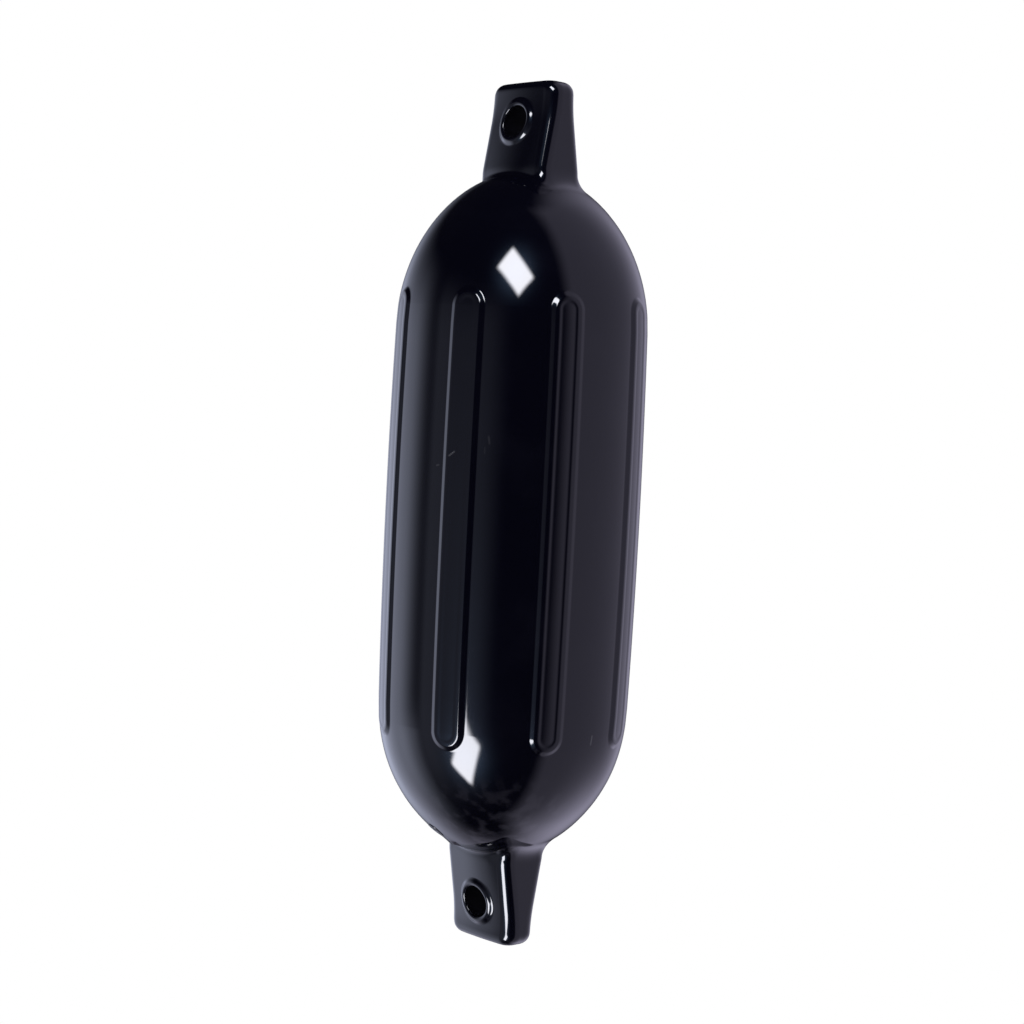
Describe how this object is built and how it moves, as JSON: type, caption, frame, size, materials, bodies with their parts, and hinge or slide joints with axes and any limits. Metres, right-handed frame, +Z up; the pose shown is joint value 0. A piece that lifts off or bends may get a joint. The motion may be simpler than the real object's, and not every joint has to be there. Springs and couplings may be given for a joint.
{
  "type": "pneumatic boat fender",
  "caption": "Hollow moulded vinyl boat fender with raised ribs, domed ends, an eye lug at each end and a push-in needle valve in the lower dome.",
  "frame": {"origin": "middle of the upper eye, on the fender's long axis", "axes": "+Z up along the fender's long axis from the lower eye to the upper eye; Y along the eyes; the lower lug's valve is on the -Y side"},
  "size_m": [0.165, 0.165, 0.556],
  "materials": {
    "vinyl": "glossy navy-black moulded vinyl, lightly scuffed",
    "valve_rubber": "soft black rubber, satin"
  },
  "bodies": {
    "root": {"fender_body": "vinyl", "needle_valve": "valve_rubber"}
  },
  "joints": []
}
